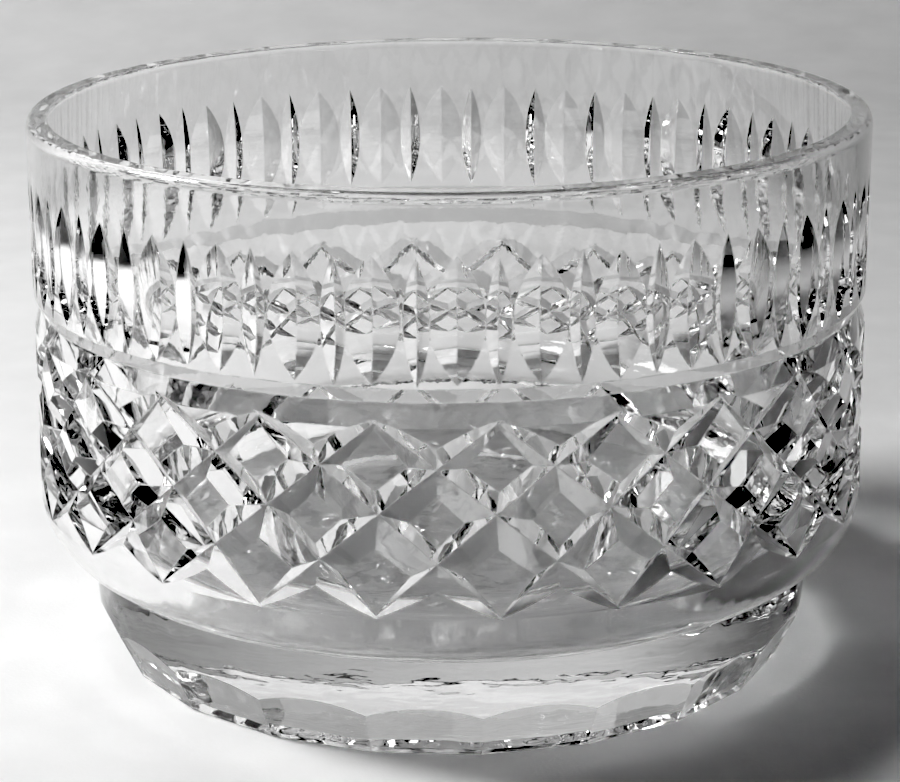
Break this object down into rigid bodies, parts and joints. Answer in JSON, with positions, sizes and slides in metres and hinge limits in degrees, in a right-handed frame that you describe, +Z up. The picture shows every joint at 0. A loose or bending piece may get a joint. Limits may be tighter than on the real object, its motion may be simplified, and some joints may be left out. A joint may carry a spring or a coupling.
{
  "type": "trifle bowl",
  "caption": "Deep round cut-glass bowl with upright slices, a ring cut and a band of diamonds, on a low faceted foot; holds layered desserts, salad or fruit.",
  "frame": {"origin": "centre of the foot's underside, on the surface that the bowl stands on", "axes": "+Z up along the bowl's axis, -Y towards the side that the picture shows"},
  "size_m": [0.2028, 0.2028, 0.1331],
  "materials": {
    "clear_crystal": "clear colourless lead crystal, cut and polished all over"
  },
  "bodies": {
    "root": {"bowl": "clear_crystal"}
  },
  "joints": []
}
